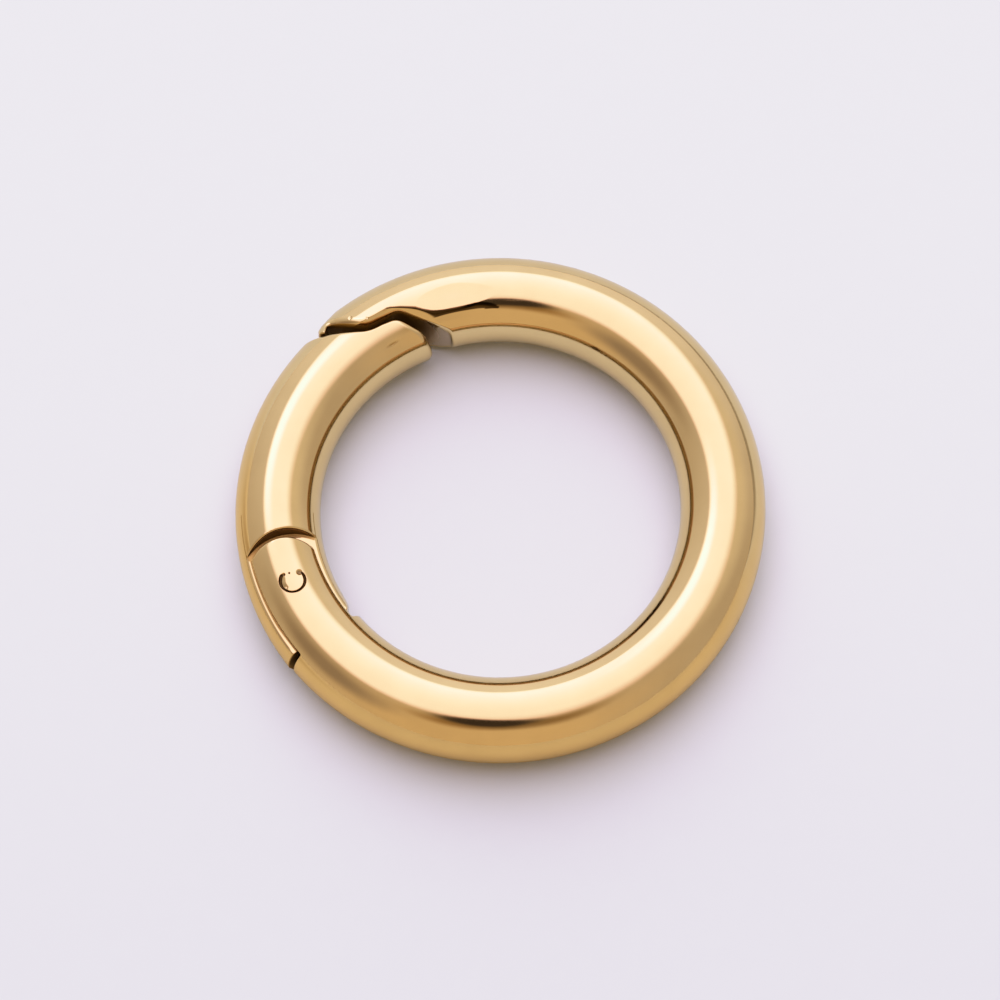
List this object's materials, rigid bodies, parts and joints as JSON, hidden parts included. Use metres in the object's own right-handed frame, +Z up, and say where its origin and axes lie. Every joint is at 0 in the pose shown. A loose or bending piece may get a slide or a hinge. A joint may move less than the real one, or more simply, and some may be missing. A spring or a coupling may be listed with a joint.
{
  "type": "spring gate ring",
  "caption": "Round wire ring with a sprung hinged gate that opens inwards, closing under a hooked nose, for joining chains or straps.",
  "frame": {"origin": "under the ring's centre, on the surface that the ring lies on", "axes": "+Z up, along the ring's axis; the gate is on the -X side, its hinge pin towards -Y and its nose towards +Y"},
  "size_m": [0.0249, 0.025, 0.004],
  "materials": {
    "ring_gold": "gold plated, mirror polished",
    "gate_gold": "gold plated, mirror polished",
    "pin_gold": "gold plated, riveted flush",
    "spring_steel": "bright spring wire"
  },
  "bodies": {
    "ring": {"ring_body": "ring_gold", "hinge_pin": "pin_gold", "gate_spring": "spring_steel"},
    "gate": {"gate": "gate_gold"}
  },
  "joints": [
    {"name": "gate_hinge", "type": "hinge", "parent": "ring", "child": "gate", "pos_m": [-0.00968, -0.00407, 0.002], "axis": [0, 0, -1], "range_deg": [0, 28], "stiffness_Nm_per_rad": 0.01, "springref_deg": -28.65}
  ]
}
